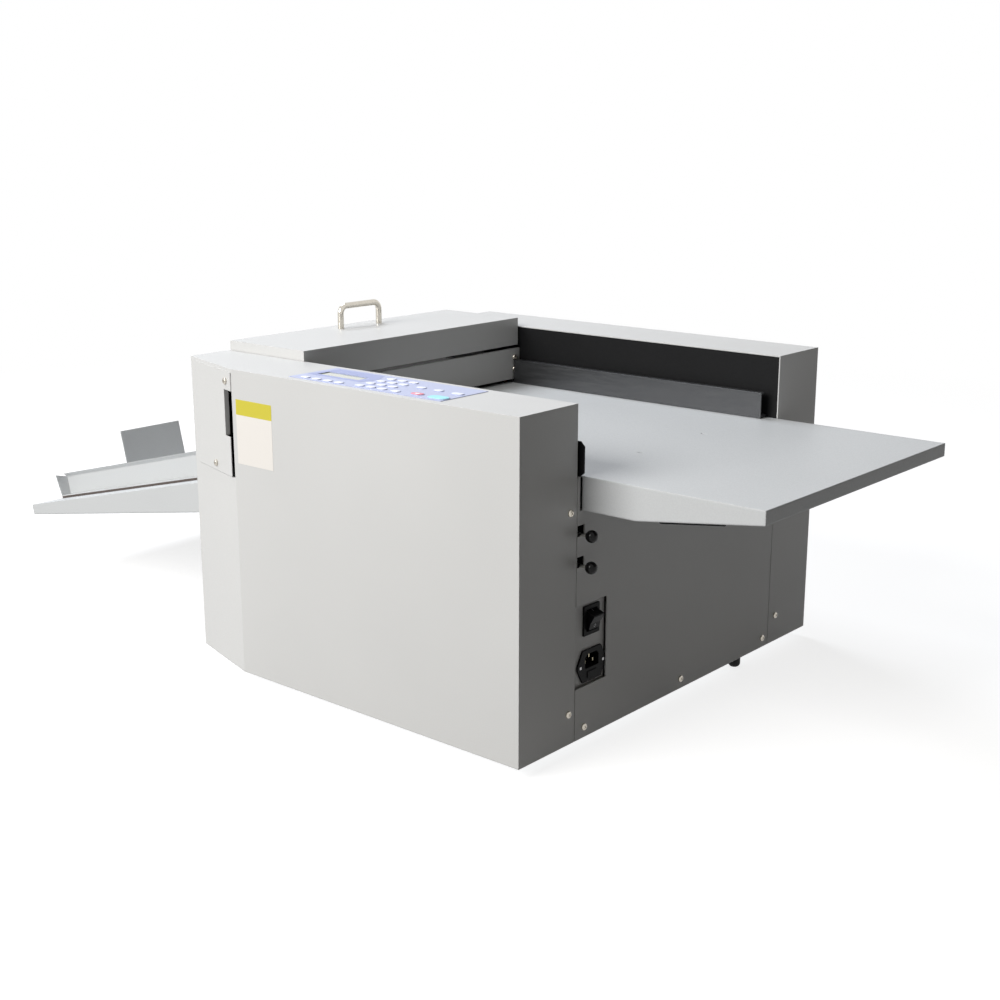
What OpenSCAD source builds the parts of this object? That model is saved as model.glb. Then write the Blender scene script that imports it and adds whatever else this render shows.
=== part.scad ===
// Desktop paper creasing machine: two side housings, a feed table between them,
// a hinged cover over the creasing bay and a sloping delivery tray.
// Sheets go in along -X: table, feed rollers, creasing blade, exit rollers, tray.

/* [Casing] */
// Length of the casing along the paper path
casing_l = 547; // [530:1:600]
// Depth of the casing from the operator's face to the rear face
casing_d = 588; // [560:1:660]
// Height of the casing without its feet
casing_h = 370; // [368:1:400]
// Width of each side housing
housing_w = 93; // [92:1:105]
// Length of the angled face at the delivery end of the front housing
facet_l = 115; // [100:1:125]
// How far the angled face runs back at the delivery end
facet_d = 33; // [28:1:38]
// Thickness of the painted sheet steel
sheet = 1.5; // [1.2:0.1:1.8]
// Thickness of the two black side frames
frame_t = 3; // [2.5:0.5:4]
// Thickness of the base plate
base_t = 2; // [1.5:0.5:3]
// Height of the rubber feet
foot_h = 14; // [10:1:20]
// Radius of the rubber feet
foot_r = 7.5; // [6:0.5:9]
// Gap between neighbouring sheet panels
panel_gap = 1; // [0.6:0.1:1.5]

/* [Feed table] */
// Depth of the table top below the housings' tops
table_drop = 77; // [76:1:90]
// Reach of the table beyond the feed end
table_reach = 217; // [190:1:260]
// Gap between the front frame and the table's near edge
table_gap = 8.6; // [8:0.1:12]
// Depth of the table's side skirts at the machine
skirt_h = 36.6; // [34:0.2:40]
// Distance from the feed end at which the skirts start to taper
taper_x = 67; // [40:1:90]
// Depth of the folded lip at the tip of the table
lip_h = 15; // [12:1:18]
// Height of the front side guide above the table
front_guide_h = 37; // [30:1:44]
// Height of the rear side guide above the table
rear_guide_h = 32; // [26:1:40]
// Distance from the rear frame to the face of the rear guide
rear_guide_in = 16; // [15:0.1:18]
// How far the rear guide slides towards the operator
guide_travel = 150; // [100:1:200]

/* [Cover] */
// Length of the creasing bay under the cover
bay_l = 136; // [134:1:142]
// How far the cover stands above the housings
cover_rise = 12; // [8:1:16]
// Depth of the cover's skirts
cover_skirt = 37; // [34:1:40]
// Gap between the rear frame and the cover
cover_gap = 4.6; // [3:0.1:6]
// Distance between the legs of the handle
handle_pitch = 70; // [60:1:90]
// Height of the handle over the cover
handle_h = 33; // [28:1:40]
// Radius of the handle's bar
handle_r = 4; // [3:0.5:5]

/* [Rollers and creasing unit] */
// Diameter of the feed and exit rollers
roller_d = 24; // [22:0.5:25]
// Radius of the roller journals
shaft_r = 4; // [3:0.5:5]
// Radius of the bushes in the side frames
bush_r = 8; // [7:0.5:9]
// Distance from the delivery end to the exit rollers
exit_off = 25; // [24:1:28]
// Distance from the delivery end to the creasing blade
crease_off = 67; // [65:1:69]
// Distance from the delivery end to the feed rollers
nip_off = 108; // [106:1:109]
// Eccentricity of the blade's drive; the stroke is twice this
crank_r = 3; // [2:0.5:3.5]
// Width of the blade beam along the paper path
beam_w = 16; // [14:1:20]
// Thickness of the creasing blade
blade_t = 1; // [0.6:0.1:1.4]
// Height of the eccentric shaft above the paper
shaft_rise = 44; // [43:0.5:46]
// Radial running clearance of shafts, pins and slides
fit = 0.05; // [0.03:0.01:0.08]

/* [Delivery tray] */
// Reach of the tray beyond the delivery end
tray_reach = 480; // [400:1:520]
// Slope of the tray
tray_angle = 13.8; // [10:0.1:14]
// Depth of the tray's surface below the table, at the casing
tray_drop = 86.5; // [81:0.5:93]
// Depth of the tray's skirts at the casing
tray_skirt = 46; // [42:1:50]
// Height of the tray's side guide
tray_guide_h = 33; // [30:0.5:45]
// Length of the tray's side guide
tray_guide_l = 400; // [300:1:420]
// Height of the tray's paper stop
stop_h = 80; // [60:1:90]
// Width of the tray's paper stop
stop_w = 110; // [80:1:140]
// Thickness of the magnetic strips under the guide and the stop
magnet_t = 3.5; // [2:0.5:5]

/* [Controls] */
// Length of the membrane keypad
keypad_l = 231; // [220:1:240]
// Width of the membrane keypad
keypad_w = 74; // [70:1:78]
// Thickness of the membrane keypad
keypad_t = 0.6; // [0.4:0.1:1]
// Radius of the ball knobs on the setting levers
knob_r = 6.75; // [6:0.25:8]
// Height of the lever slots in the feed-end panel
slot_h = 12; // [10:0.5:14]
// Height difference between the two levers
lever_pitch = 34; // [32:1:40]
// Height of the power recess in the feed-end panel
recess_h = 93; // [88:1:100]
// Depth at which the power plate lies behind the feed-end face
recess_x = 4; // [3:0.5:6]

/* [Hidden] */
$fn = 64;
// Stations along X, from the feed end at x = 0 to the delivery end
out_x = -casing_l;
exit_x = out_x + exit_off;
crease_x = out_x + crease_off;
nip_x = out_x + nip_off;
bay_x = out_x + bay_l;
feed_x = (tray_reach + casing_l - table_reach) / 2;
// Inner faces of the two side frames, and the housings' hidden edges
front_y = housing_w;
rear_y = casing_d - housing_w;
mid_y = casing_d / 2;
facet_a = atan(facet_d / facet_l);
top_z = casing_h - sheet;
table_z = casing_h - table_drop;
tray_z = table_z - tray_drop;
frame_l = casing_l - 2 * sheet;
// Heights along the paper path
paper_z = table_z + 3;
nip_gap = 0.3;
low_z = paper_z - roller_d / 2;
high_z = low_z + roller_d + nip_gap;
crank_z = paper_z + shaft_rise;
shaft_clear = 0.3;
// Feed table
table_y = front_y + table_gap;
table_y1 = rear_y - panel_gap;
table_in = bay_x - 7;
panel_top = table_z - skirt_h;
entry_h = 5;
// Cover and its hinge
cover_x0 = out_x + sheet;
cover_top = casing_h + cover_rise;
cover_z0 = cover_top - cover_skirt;
cover_y0 = front_y + 0.7;
cover_y1 = rear_y - cover_gap;
hinge_x = bay_x - 8;
hinge_z = cover_z0 + 6;
pin_r = 3;
pin_head_r = 5;
hand_panel_top = cover_z0 - 4.5;
// Guide bar behind the lower panel
bar_r = 3;
bar_x = bay_x - 9.6;
bar_z = table_z + 37;
carriage_w = 10.6;
// Screws: pan heads of 8 mm on 4 mm shanks
head_r = 4;
head_h = 2.6;
screw_r = 2;
screw_hole = 2.2;
screw_l = 7;
short_screw_l = 3.5;
flange_w = 26;
// Screws of the feed end, as height and distance from the front face
corner_z = 35;
corner_in = 11;
corner_in_rear = 16;
upper_screw_z = table_z - 36;
foot_screw_z = 12.4;
foot_screw_in = 17;
END_SCREWS = [
  [front_y - corner_in, corner_z], [rear_y + corner_in_rear, corner_z],
  [front_y - corner_in, upper_screw_z], [rear_y + corner_in_rear, upper_screw_z],
  [front_y + foot_screw_in, foot_screw_z], [mid_y + 2.6, foot_screw_z], [rear_y - 14, foot_screw_z]
];
// Lower panel's screws, as height over the paper and distance from the frame
PANEL_SCREWS = [[16, 12], [32, 12]];
// Plate on the angled face: places run from the front corner along the face
plate_t = 1.2;
plate_u0 = 7.5;
plate_u1 = 104;
plate_z0 = casing_h - 129;
plate_z1 = casing_h - 4;
slot_u0 = 1.2;
slot_u1 = 20.6;
slot_z0 = casing_h - 81;
slot_z1 = casing_h - 26;
PLATE_SCREWS = [[15.2, plate_z1 - 11.5], [52.4, plate_z0 + 9]];
// Gears: module 1
gear_w = 10;
feed_teeth = 24;
crank_teeth = 40;
pinion_teeth = 20;
pinion_a = 63;
pinion_d = (crank_teeth + pinion_teeth) / 2 + 0.2;
pinion_x = crease_x + pinion_d * cos(pinion_a);
pinion_z = crank_z - pinion_d * sin(pinion_a);
// Timing drive in the front housing
pulley_y0 = front_y - 20;
pulley_w = 10;
flange_t = 1.2;
pulley_teeth = 30;
motor_teeth = 20;
belt_pitch = 3.14159;
belt_t = 1.6;
motor_w = 56.4;
motor_l = 40;
motor_x = (nip_x + exit_x) / 2;
motor_z = low_z - 79;
pilot_r = 19;
motor_shaft_r = 3.2;
motor_wall = 3;
rotor_r = 21;
// Creasing unit
beam_z0 = paper_z + 10;
beam_h = 19;
stroke = 2 * crank_r;
cam_r = 11;
cam_w = 12;
cam_in = 8;
window_clear = 0.75;
anvil_w = 20;
groove_w = 2.5;
groove_d = 1.6;
blade_z0 = paper_z + 5;
// Setting levers
lever_x = -40;
lever_r = 2;
lever_y = front_y + 7.5;
slot_y0 = front_y + 1.5;
slot_w = 12;
upper_slot_z = table_z - 64.5;
SLOTS = [upper_slot_z, upper_slot_z - lever_pitch];
lever_hub_r = 5;
lever_pin_r = 2.5;
knob_x = 14;
// Power recess
recess_z = 59;
recess_y1 = front_y + 55.5;
switch_y = front_y + 31;
switch_z = recess_z + 72;
inlet_y = front_y + 32.3;
inlet_z = recess_z + 21;
rocker_x = -recess_x - 2;
rocker_tilt = 12;
// Keypad: keys as place along the pad and across it
keypad_x = -344;
keypad_y = 10;
lcd_x = 13;
lcd_y = 31.6;
lcd_l = 65;
lcd_w = 18.4;
KEYS = concat(
  [for (i = [0:3]) [20 + 18 * i, 6.8]],
  [for (i = [0:2], j = [0:3]) [103.3 + 17 * i, 9.5 + 16.3 * j]],
  [[157.7, 9], [164.5, 42], [190, 41.5]]
);
// Delivery tray: a frame along the slope, from the tip towards the casing
tray_y0 = front_y + 3;
tray_y1 = rear_y - 3;
tray_tip_z = tray_z - tray_reach * tan(tray_angle);
tray_tip_h = 14.7;
tray_s1 = tray_reach / cos(tray_angle);
tray_guide_y = tray_y0 + 60;
tray_guide_s = 11;
tray_flange = 14.5;
tray_guide_rise = 3;
tray_lip = 5.5;
stop_s = 52;

// ---- placing and plain shapes -------------------------------------------------

// From the working frame (feed end, operator's face, underside) to the part's frame
module placed() translate([feed_x, -mid_y, foot_h]) children();

// A block from one corner to the other
module block(low, high) translate(low) cube(high - low);

// A round bar along Y between two faces
module rod_y(x, z, y0, y1, r) translate([x, y1, z]) rotate([90, 0, 0]) cylinder(h = y1 - y0, r = r);

// A round bar along X between two faces
module rod_x(y, z, x0, x1, r) translate([x0, y, z]) rotate([0, 90, 0]) cylinder(h = x1 - x0, r = r);

// An outline in X and Z, made into a slab between two faces along Y
module slab_y(y0, y1) translate([0, y1, 0]) rotate([90, 0, 0]) linear_extrude(y1 - y0) children();

// The frame of the angled face: u along the face, then outwards, then up
module on_facet() translate([out_x + facet_l, 0, 0]) rotate([0, 0, 180 - facet_a]) children();

// The tray's frame: s up the slope from the tip, then across, then off the surface
module on_tray() translate([out_x - tray_reach, 0, tray_tip_z]) rotate([0, -tray_angle, 0]) children();

// Footprint of the front housing, drawn in by a wall
function facet_y(inset) = (inset + sin(facet_a) * (facet_l - inset)) / cos(facet_a);
function housing_outline(inset, inner) = [
  [out_x + inset, facet_y(inset)],
  [out_x + facet_l + inset * tan(facet_a / 2), inset],
  [-inset, inset],
  [-inset, inner],
  [out_x + inset, inner]
];

// A pan-head screw whose head lies on the plane x = 0 and points along +X
module screw_x(y, z, long = screw_l) {
  difference() {
    union() {
      rod_x(y, z, -long, 0.1, screw_r);
      translate([0, y, z]) rotate([0, 90, 0]) pan_head();
    }
    for (a = [45, 135])
      translate([head_h, y, z]) rotate([a, 0, 0]) cube([1.6, 4.4, 0.9], center = true);
  }
}

// The rounded head of a screw, standing on z = 0
module pan_head() {
  rotate_extrude() polygon([
    [0, 0], [head_r, 0], [head_r, head_h * 0.45], [head_r * 0.93, head_h * 0.7],
    [head_r * 0.75, head_h * 0.9], [head_r * 0.5, head_h], [0, head_h]
  ]);
}

// A spur gear of module 1: each tooth is half the pitch, less a little backlash
module gear_outline(teeth) {
  pitch_r = teeth / 2;
  half = 90 / teeth * 0.94;
  polygon([for (i = [0:teeth - 1], p = [
    [-1.55 * half, -1.15], [-1.3 * half, -0.6], [-half, 0], [-0.5 * half, 0.85],
    [0.5 * half, 0.85], [half, 0], [1.3 * half, -0.6], [1.55 * half, -1.15]
  ]) let (a = 360 / teeth * i + p[0]) (pitch_r + p[1]) * [cos(a), sin(a)]]);
}

// A toothed pulley with two flanges, from y0 along +Y, bored through
module pulley(x, z, y0, teeth, bore) {
  r = teeth * belt_pitch / (2 * PI);
  difference() {
    union() {
      slab_y(y0, y0 + pulley_w) translate([x, z]) pulley_outline(teeth, r);
      for (y = [y0 - flange_t, y0 + pulley_w]) rod_y(x, z, y, y + flange_t, r + 2);
    }
    rod_y(x, z, y0 - flange_t - 1, y0 + pulley_w + flange_t + 1, bore);
  }
}
module pulley_outline(teeth, r) {
  half = 90 / teeth;
  polygon([for (i = [0:teeth - 1], p = [[-half, -0.8], [-0.7 * half, 0], [0.7 * half, 0], [half, -0.8]])
    let (a = 360 / teeth * i + p[0]) (r + p[1]) * [cos(a), sin(a)]]);
}

// ---- casing -------------------------------------------------------------------

module base_plate() color("silver") placed() {
  difference() {
    union() {
      linear_extrude(base_t) polygon(housing_outline(sheet, mid_y));
      block([out_x + sheet, mid_y - 1, 0], [-sheet, casing_d - sheet, base_t]);
      for (x = [out_x + sheet, -2 * sheet])
        block([x, front_y + panel_gap, 0], [x + sheet, rear_y - panel_gap, 24]);
    }
    end_screw_holes();
  }
}

// The holes of the feed end's screws, through panels, flanges and frames
module end_screw_holes() {
  for (s = END_SCREWS)
    for (x = [-screw_l - 1, out_x - 1]) rod_x(s[0], s[1], x, x + screw_l + 2, screw_hole);
}

module front_housing() color("gainsboro") placed() {
  difference() {
    linear_extrude(casing_h) polygon(housing_outline(0, front_y));
    translate([0, 0, -1]) linear_extrude(top_z + 1) polygon(housing_outline(sheet, front_y + 1));
    end_screw_holes();
    on_facet() {
      block([slot_u0, -3 * sheet, plate_z0], [slot_u1 + 3, sheet, slot_z1 + 4]);
      for (s = PLATE_SCREWS) translate([s[0], 1, s[1]]) rotate([90, 0, 0]) cylinder(h = 4, r = screw_hole);
    }
    translate([keypad_x, keypad_y, top_z - 1])
      block([lcd_x, lcd_y, 0], [lcd_x + lcd_l, lcd_y + lcd_w, sheet + 2]);
  }
}

module rear_housing() color("gainsboro") placed() {
  difference() {
    block([out_x, rear_y, 0], [0, casing_d, casing_h]);
    block([out_x + sheet, rear_y - 1, -1], [-sheet, casing_d - sheet, top_z]);
    end_screw_holes();
    for (i = [0:9])
      block([out_x + 180 + 18 * i, casing_d - 3 * sheet, 60], [out_x + 184 + 18 * i, casing_d + 1, 110]);
  }
}

// Everything that goes through a side frame; y runs from the frame's inner to outer face
module frame_cuts(y0, y1) {
  for (x = [nip_x, exit_x], z = [low_z, high_z]) rod_y(x, z, y0, y1, bush_r);
  rod_y(crease_x, crank_z, y0, y1, bush_r);
  rod_y(hinge_x, hinge_z, y0, y1, pin_r);
  rod_y(bar_x, bar_z, y0, y1, bar_r);
  block([crease_x - beam_w / 2 - fit, y0, beam_z0 - stroke - 0.5],
        [crease_x + beam_w / 2 + fit, y1, beam_z0 + beam_h + 0.5]);
}

module front_side_frame() color("dimgray") placed() {
  difference() {
    union() {
      block([out_x + sheet, front_y - frame_t, base_t], [-sheet, front_y, top_z]);
      for (x = [out_x + sheet, -2 * sheet])
        block([x, front_y - flange_w, base_t], [x + sheet, front_y - frame_t, top_z]);
    }
    frame_cuts(front_y - frame_t - 1, front_y + 1);
    end_screw_holes();
    rod_y(motor_x, motor_z, front_y - frame_t - 1, front_y + 1, pilot_r + 0.2);
    for (z = SLOTS) rod_y(lever_x, z + lever_r + shaft_clear, front_y - frame_t - 1, front_y + 1, lever_pin_r);
  }
}

module rear_side_frame() color("#202020") placed() {
  difference() {
    union() {
      block([out_x + sheet, rear_y, base_t], [-sheet, rear_y + frame_t, top_z]);
      for (x = [out_x + sheet, -2 * sheet])
        block([x, rear_y + frame_t, base_t], [x + sheet, rear_y + flange_w, top_z]);
    }
    frame_cuts(rear_y - 1, rear_y + frame_t + 1);
    end_screw_holes();
  }
}

module feed_end_panel() color("gainsboro") placed() {
  difference() {
    union() {
      block([-sheet, front_y + panel_gap, 0], [0, rear_y - panel_gap, panel_top]);
      block([-14, front_y + panel_gap, panel_top - sheet], [-sheet, rear_y - panel_gap, panel_top]);
      block([-14, rear_y - panel_gap - sheet, 26], [-sheet, rear_y - panel_gap, panel_top - sheet]);
    }
    end_screw_holes();
    block([-20, front_y - 1, recess_z], [1, recess_y1, recess_z + recess_h]);
    for (z = SLOTS) block([-20, slot_y0, z], [1, slot_y0 + slot_w, z + slot_h]);
  }
}

module delivery_end_panel() color("gainsboro") placed() {
  difference() {
    union() {
      block([out_x, front_y + panel_gap, 0], [out_x + sheet, rear_y - panel_gap, low_z - roller_d / 2 - 3]);
      block([out_x + sheet, front_y + panel_gap, low_z - roller_d / 2 - 3 - sheet],
            [out_x + 10, rear_y - panel_gap, low_z - roller_d / 2 - 3]);
    }
    end_screw_holes();
    for (y = tray_hook_ys())
      block([out_x - 1, y - 10.3, tray_z - tray_skirt + 8], [out_x + sheet + 1, y + 10.3, tray_z - tray_skirt + 24.3]);
  }
}

// The lower panel over the paper entry, its top edge folded inwards
module lower_feed_panel() color("gainsboro") placed() {
  difference() {
    union() {
      block([bay_x - sheet, front_y + 0.7, table_z + entry_h], [bay_x, rear_y - 0.7, hand_panel_top]);
      block([bay_x - 4, front_y + 0.7, hand_panel_top - sheet], [bay_x, rear_y - 0.7, hand_panel_top]);
    }
    panel_screw_holes();
  }
}
module panel_screw_holes() {
  for (s = PANEL_SCREWS, y = [front_y + s[1], rear_y - s[1]])
    rod_x(y, paper_z + s[0], bay_x - 8, bay_x + 1, screw_hole);
}

// The plate screwed on the angled face, with its hand slot and its folded lip
module facet_plate() color("lightgray") placed() on_facet() {
  difference() {
    union() {
      block([slot_u0, 0, slot_z1], [plate_u1, plate_t, plate_z1]);
      block([slot_u1, 0, slot_z0 - 1], [plate_u1, plate_t, slot_z1 + 1]);
      block([plate_u0, 0, plate_z0], [plate_u1, plate_t, slot_z0]);
      block([slot_u1, -4.6, slot_z0], [slot_u1 + plate_t, plate_t, slot_z1]);
    }
    for (s = PLATE_SCREWS) translate([s[0], plate_t + 1, s[1]]) rotate([90, 0, 0]) cylinder(h = 4, r = screw_hole);
  }
}

// Rubber feet; the one at the feed end lies near the rear, the others further in
foot_top_r = foot_r - 1;
FEET = [[-1.5 * sheet - foot_r, rear_y - 62], [-60, 60], [out_x + 57, 60], [out_x + 57, casing_d - 58]];
module rubber_feet() color("black") placed() {
  for (f = FEET) translate([f[0], f[1], 0]) rotate([180, 0, 0])
    rotate_extrude() polygon(concat(
      [[0, 0], [foot_top_r, 0], [foot_r, 2], [foot_r, foot_h - 5]],
      [for (a = [15:15:75]) [foot_r - 5 + 5 * cos(a), foot_h - 5 + 5 * sin(a)]],
      [[foot_r - 5, foot_h], [0, foot_h]]));
}

module casing_screws() color("gray") placed() {
  for (s = END_SCREWS) {
    screw_x(s[0], s[1]);
    translate([out_x, 0, 0]) mirror([1, 0, 0]) screw_x(s[0], s[1]);
  }
  for (s = PANEL_SCREWS, y = [front_y + s[1], rear_y - s[1]])
    translate([bay_x, 0, 0]) screw_x(y, paper_z + s[0], short_screw_l);
  on_facet() for (s = PLATE_SCREWS)
    translate([s[0], plate_t, s[1]]) rotate([0, 0, 90]) screw_x(0, 0);
}

// ---- controls and electrics ----------------------------------------------------

// A rounded key, two discs joined by a bar
module key_form(l, w) {
  linear_extrude(0.5) union() {
    square([l - w, w], center = true);
    for (s = [-1, 1]) translate([s * (l - w) / 2, 0]) circle(d = w);
  }
}

module keypad_membrane() color("#a6b4e4") placed() translate([keypad_x, keypad_y, casing_h]) {
  difference() {
    cube([keypad_l, keypad_w, keypad_t]);
    block([lcd_x, lcd_y, -1], [lcd_x + lcd_l, lcd_y + lcd_w, keypad_t + 1]);
  }
  translate([0, 0, keypad_t]) {
    for (k = KEYS) translate([k[0], k[1], 0]) key_form(12.5, 8.5);
    translate([186, 12.8, 0]) key_form(17, 11);
    translate([216.5, 12.2, 0]) key_form(27, 17);
    translate([218, 40.5, 0]) key_form(16, 9);
  }
}

// The display: a glass in the window, its frame and its board under the top
module display_module() color("darkseagreen") placed()
  translate([keypad_x + lcd_x, keypad_y + lcd_y, top_z]) {
    block([0.3, 0.3, 0], [lcd_l - 0.3, lcd_w - 0.3, sheet]);
    block([-4, -4, -7], [lcd_l + 4, lcd_w + 4, 0]);
    block([-9, -9, -8.6], [lcd_l + 9, lcd_w + 9, -7]);
  }

// The control board on four pillars behind the front face
board_x = -330;
board_z = casing_h - 230;
board_l = 180;
board_h = 150;
module control_board() color("darkgreen") placed() {
  block([board_x, sheet + 8, board_z], [board_x + board_l, sheet + 9.6, board_z + board_h]);
  for (x = [10, board_l - 10], z = [10, board_h - 10])
    rod_y(board_x + x, board_z + z, sheet, sheet + 8, 3);
  translate([board_x, sheet + 9.6, board_z]) {
    block([20, 0, 70], [60, 3.5, 110]);
    block([80, 0, 40], [110, 12, 60]);
    block([120, 0, 20], [165, 14, 32]);
    block([20, 0, 12], [70, 10, 24]);
    for (i = [0:3]) block([82 + 20 * i, 0, 88], [94 + 20 * i, 18, 110]);
    for (i = [0:2]) rod_y(130 + 14 * i, 66, 0, 22, 5.5);
  }
}

// The power supply, a folded box with air slots, on the base plate under the table
supply_x = -230;
supply_y = front_y + 60;
supply_l = 160;
supply_w = 98;
supply_h = 42;
module power_supply() color("silver") placed() translate([supply_x, supply_y, base_t]) {
  difference() {
    cube([supply_l, supply_w, supply_h]);
    for (i = [0:11]) block([20 + 10 * i, 20, supply_h - 1], [25 + 10 * i, supply_w - 20, supply_h + 1]);
  }
  block([supply_l, 10, 4], [supply_l + 12, supply_w - 10, 18]);
}

module power_plate() color("darkgray") placed() {
  difference() {
    union() {
      block([-recess_x - sheet, front_y + panel_gap, recess_z - 12], [-recess_x, recess_y1 + 24, recess_z + recess_h + 12]);
      for (z = [recess_z - 12, recess_z + recess_h + 12 - sheet])
        block([-recess_x, front_y + panel_gap, z], [-sheet, recess_y1 + 24, z + sheet]);
    }
    block([-30, switch_y - 11.1, switch_z - 13.6], [0, switch_y + 11.1, switch_z + 13.6]);
    block([-30, inlet_y - 13.9, inlet_z - 16.2], [0, inlet_y + 13.9, inlet_z + 16.2]);
    block([-30, recess_y1 + 0.5, recess_z - 1], [0, recess_y1 + 10, recess_z + recess_h + 1]);
  }
}

module inlet_socket() color("#1c1c1c") placed() translate([-recess_x, inlet_y, inlet_z]) {
  difference() {
    union() {
      rotate([90, 0, 90]) linear_extrude(2.3)
        polygon([[-25, -2], [-16, -18], [16, -18], [25, -2], [25, 2], [16, 18], [-16, 18], [-25, 2]]);
      block([-24, -13.7, -16], [0.1, 13.7, 16]);
      block([2.2, -8, -14], [3.2, 8, -7]);
    }
    translate([-16, 0, 5]) rotate([90, 0, 90]) linear_extrude(20)
      polygon([[-12, -8], [12, -8], [12, 4], [8, 8], [-8, 8], [-12, 4]]);
    for (y = [-20, 20]) rod_x(y, 0, -1, 5, 1.6);
  }
}

module switch_body() color("#1c1c1c") placed() translate([-recess_x, switch_y, switch_z]) {
  difference() {
    union() {
      block([0, -13.5, -16.5], [2.5, 13.5, 16.5]);
      block([-22, -11, -13.5], [0.1, 11, 13.5]);
    }
    block([-10, -9.5, -12.5], [3, 9.5, 12.5]);
    rod_y(-2, 0, -10.5, 10.5, 1.5 + fit);
  }
}

module switch_rocker() color("#141414") placed() translate([rocker_x, switch_y, switch_z]) {
  slab_y(-9.2, 9.2) rotate(rocker_tilt)
    polygon([[-3, -8], [-2, -10.5], [5.5, -11], [8.6, -4.5], [15, 2.8], [15, 4.1], [8.8, 8], [5.5, 11], [-2, 10.5], [-3, 8]]);
  rod_y(0, 0, -10.3, 10.3, 1.5);
}

// A setting lever: hub on its pivot, and a bright arm along its slot's lower edge
module setting_lever(z) {
  arm_z = z + lever_r + shaft_clear;
  difference() {
    union() {
      rod_y(lever_x, arm_z, lever_y - 2, lever_y + 2, lever_hub_r);
      rod_x(lever_y, arm_z, lever_x + 1, knob_x - 2, lever_r);
    }
    rod_y(lever_x, arm_z, lever_y - 3, lever_y + 3, lever_pin_r + fit);
  }
}
module ball_knob(z) {
  arm_z = z + lever_r + shaft_clear;
  difference() {
    translate([knob_x, lever_y, arm_z]) sphere(r = knob_r);
    rod_x(lever_y, arm_z, knob_x - knob_r - 3, knob_x - 2, lever_r);
  }
}
module upper_lever() color("silver") placed() setting_lever(SLOTS[0]);
module lower_lever() color("silver") placed() setting_lever(SLOTS[1]);
module upper_knob() color("#141414") placed() ball_knob(SLOTS[0]);
module lower_knob() color("#141414") placed() ball_knob(SLOTS[1]);

module lever_pivots() color("silver") placed() {
  for (z = SLOTS) translate([lever_x, 0, z + lever_r + shaft_clear]) {
    rod_y(0, 0, front_y - frame_t, front_y + 0.1, lever_pin_r);
    rod_y(0, 0, front_y, lever_y - 2.2, 4);
    rod_y(0, 0, lever_y - 2.3, lever_y + 2.3, lever_pin_r);
    rod_y(0, 0, lever_y + 2.2, lever_y + 4.4, 4);
  }
}

// ---- cover ---------------------------------------------------------------------

module top_cover() color("gainsboro") placed() {
  difference() {
    block([cover_x0, cover_y0, cover_z0], [bay_x, cover_y1, cover_top]);
    block([cover_x0 + sheet, cover_y0 + sheet, cover_z0 - 1], [bay_x - sheet, cover_y1 - sheet, cover_top - sheet]);
    rod_y(hinge_x, hinge_z, cover_y0 - 1, cover_y1 + 1, pin_r + fit);
    rod_y(crease_x, crank_z, cover_y0 - 1, cover_y1 + 1, bush_r + 4);
    for (y = handle_ys()) translate([handle_x(), y, cover_top - 5]) cylinder(h = 6, r = 2.6);
  }
}
function handle_x() = cover_x0 + 27;
function handle_ys() = [mid_y - 2 - handle_pitch / 2, mid_y - 2 + handle_pitch / 2];

// Bent round bar with threaded ends and nuts under the cover's top
module cover_handle() color("silver") placed() {
  bend = 10;
  ys = handle_ys();
  for (y = ys) translate([handle_x(), y, 0]) {
    translate([0, 0, cover_top]) cylinder(h = handle_h - bend - handle_r, r = handle_r);
    translate([0, 0, cover_top - 9]) cylinder(h = 9.1, r = 2.5);
    translate([0, 0, cover_top - sheet - 4]) cylinder(h = 4, r = 4.5, $fn = 6);
  }
  for (e = [[ys[0], 0], [ys[1], 1]])
    translate([handle_x(), e[0], cover_top + handle_h - bend - handle_r])
      mirror([0, e[1], 0]) translate([0, bend, 0]) rotate([90, 0, 90]) rotate([0, 0, 90])
        rotate_extrude(angle = 90) translate([bend, 0]) circle(r = handle_r);
  rod_y(handle_x(), cover_top + handle_h - handle_r, ys[0] + bend, ys[1] - bend, handle_r);
}

module hinge_pins() color("silver") placed() {
  rod_y(hinge_x, hinge_z, front_y - frame_t, cover_y0 + sheet + 0.4, pin_r);
  rod_y(hinge_x, hinge_z, cover_y0 + sheet + 0.3, cover_y0 + sheet + 2.3, pin_head_r);
  rod_y(hinge_x, hinge_z, cover_y1 - sheet - 0.4, rear_y + frame_t, pin_r);
  rod_y(hinge_x, hinge_z, cover_y1 + 0.3, rear_y, pin_head_r);
  rod_y(hinge_x, hinge_z, cover_y1 - sheet - 2.3, cover_y1 - sheet - 0.3, pin_head_r);
}

// ---- feed table and guides -------------------------------------------------------

// Side outline of the table outside the machine, drawn in by a wall
function table_outline(inset) = [
  [-inset, table_z - inset],
  [-inset, inset > 0 ? panel_top - 30 : panel_top],
  [taper_x, inset > 0 ? panel_top - 30 : panel_top],
  [table_reach - inset, table_z - (inset > 0 ? skirt_h + 30 : lip_h)],
  [table_reach - inset, table_z - inset]
];
TABLE_SLOTS = [[-18, front_y + 137], [-20, front_y + 267]];
module feed_table() color("lightgray") placed() {
  difference() {
    union() {
      slab_y(table_y, table_y1) polygon(table_outline(0));
      block([table_in, table_y, table_z - sheet], [1, table_y1, table_z]);
    }
    slab_y(table_y + sheet, table_y1 - sheet) polygon(table_outline(sheet));
    for (p = TABLE_SLOTS) block([p[0] - 3, p[1] - 1, table_z - 3], [p[0] + 3, p[1] + 1, table_z + 1]);
  }
}

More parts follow.
